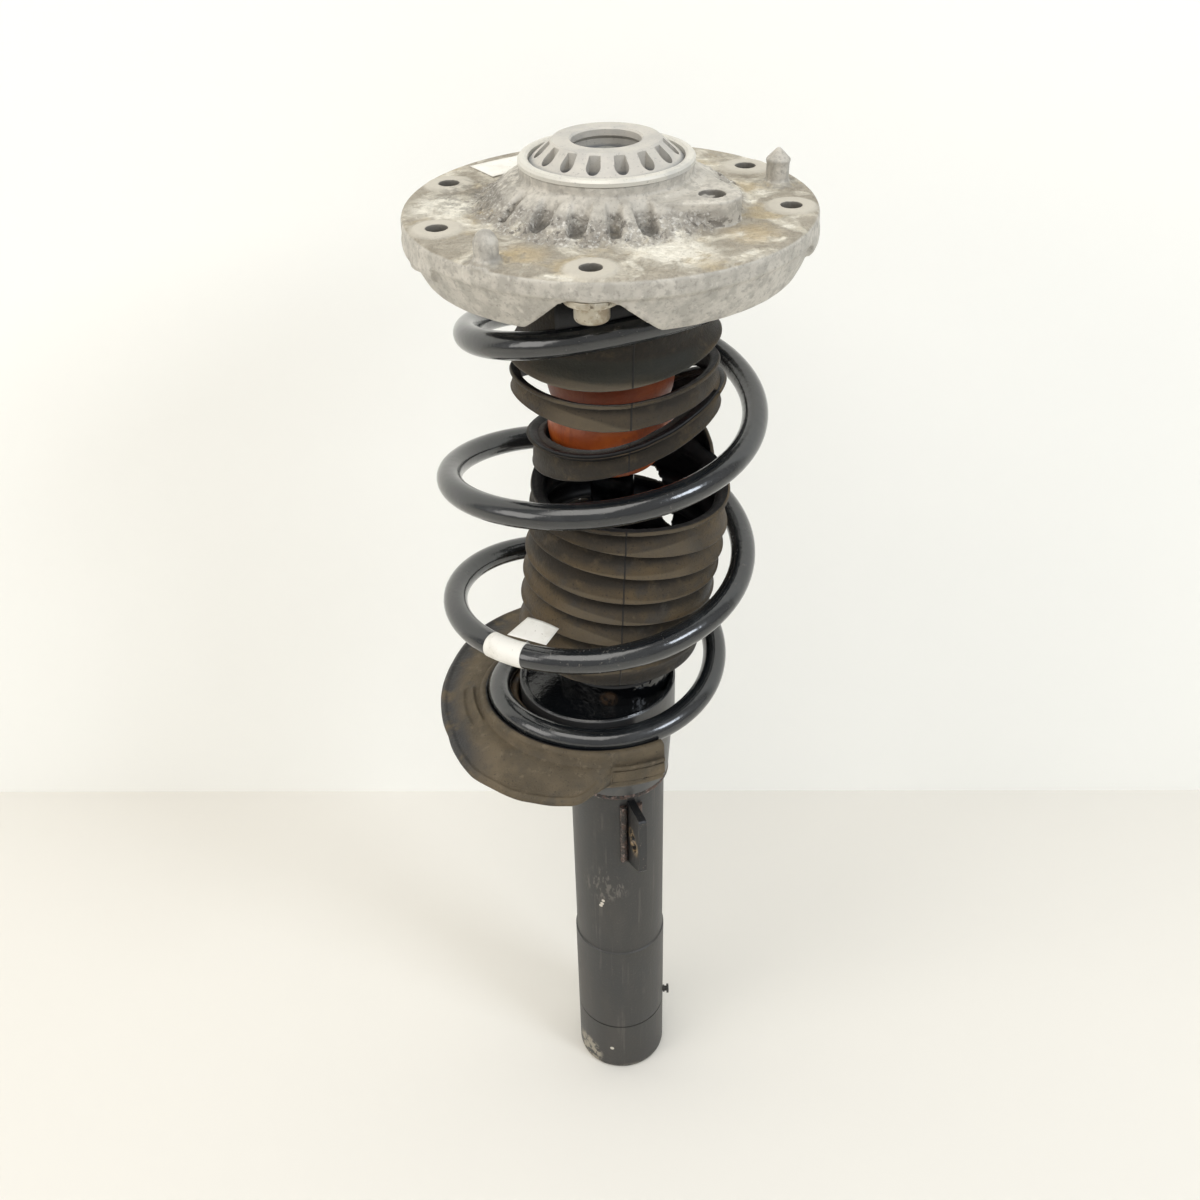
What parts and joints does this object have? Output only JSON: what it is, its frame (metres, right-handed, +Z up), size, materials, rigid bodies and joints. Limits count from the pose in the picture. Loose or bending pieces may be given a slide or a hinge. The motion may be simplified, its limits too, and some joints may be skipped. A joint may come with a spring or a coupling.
{
  "type": "front suspension strut",
  "caption": "Front suspension strut: damper tube with clamp foot and link bracket, coil spring, torn dust boot, orange bump stop and cast top mount that turns on a bearing.",
  "frame": {"origin": "centre of the bottom face of the damper tube's foot", "axes": "+Z up along the damper axis towards the top mount, +X to the right with the link bracket in front, -Y towards the front"},
  "size_m": [0.1929, 0.183, 0.6145],
  "materials": {
    "tube_paint": "satin black paint on steel, worn",
    "seat_paint": "satin black paint on pressed steel",
    "cap_paint": "gloss black",
    "spring_coating": "gloss black epoxy coat on spring steel",
    "weld_steel": "weld bead with thin paint and rust",
    "bare_steel": "machined steel",
    "rod_chrome": "ground hard chrome",
    "zinc_steel": "dull zinc plating with brown stain",
    "pad_rubber": "dusty brown-black rubber",
    "boot_rubber": "dusty brown-black rubber",
    "black_rubber": "black rubber",
    "black_plastic": "moulded glass-filled plastic",
    "orange_foam": "orange cellular urethane",
    "cast_aluminium": "die cast, oxidised and dirty",
    "clean_aluminium": "die cast, clean matt grey"
  },
  "bodies": {
    "damper_body": {"strut_tube": "tube_paint", "base_cap": "tube_paint", "locating_pin": "tube_paint", "lower_spring_seat": "seat_paint", "seat_weld": "weld_steel", "lower_spring_pad": "pad_rubber", "link_bracket": "seat_paint", "bracket_weld": "weld_steel", "pressure_tube": "bare_steel", "base_valve": "bare_steel", "rod_guide": "bare_steel", "rod_seal": "black_rubber", "tube_cap": "cap_paint", "coil_spring": "spring_coating"},
    "spring_seat": {"upper_spring_seat": "black_plastic", "upper_spring_pad": "black_rubber", "bearing_lower_race": "bare_steel", "bearing_cage": "black_plastic", "bearing_balls": "bare_steel", "dust_boot": "boot_rubber"},
    "top_mount": {"mount_plate": "cast_aluminium", "mount_cone": "clean_aluminium", "clamp_ring": "clean_aluminium", "mount_bush": "black_rubber", "inner_sleeve": "bare_steel", "rod_nut": "zinc_steel", "stop_washer": "bare_steel", "piston_rod": "rod_chrome", "piston": "bare_steel", "piston_nut": "bare_steel", "rebound_stop": "black_rubber", "bump_stop": "orange_foam", "bump_stop_cup": "seat_paint", "bearing_upper_race": "bare_steel", "insert_bushes": "zinc_steel"}
  },
  "joints": [
    {"name": "damper_stroke", "type": "slide", "parent": "damper_body", "child": "spring_seat", "axis": [0, 0, 1], "range_m": [-0.115, 0], "stiffness_N_per_m": 27000, "springref_m": 0.06, "deforming": ["coil_spring", "dust_boot"]},
    {"name": "bearing_swivel", "type": "hinge", "parent": "spring_seat", "child": "top_mount", "pos_m": [0, 0, 0.5757], "axis": [0, 0, 1], "range_deg": [-45, 45]}
  ]
}
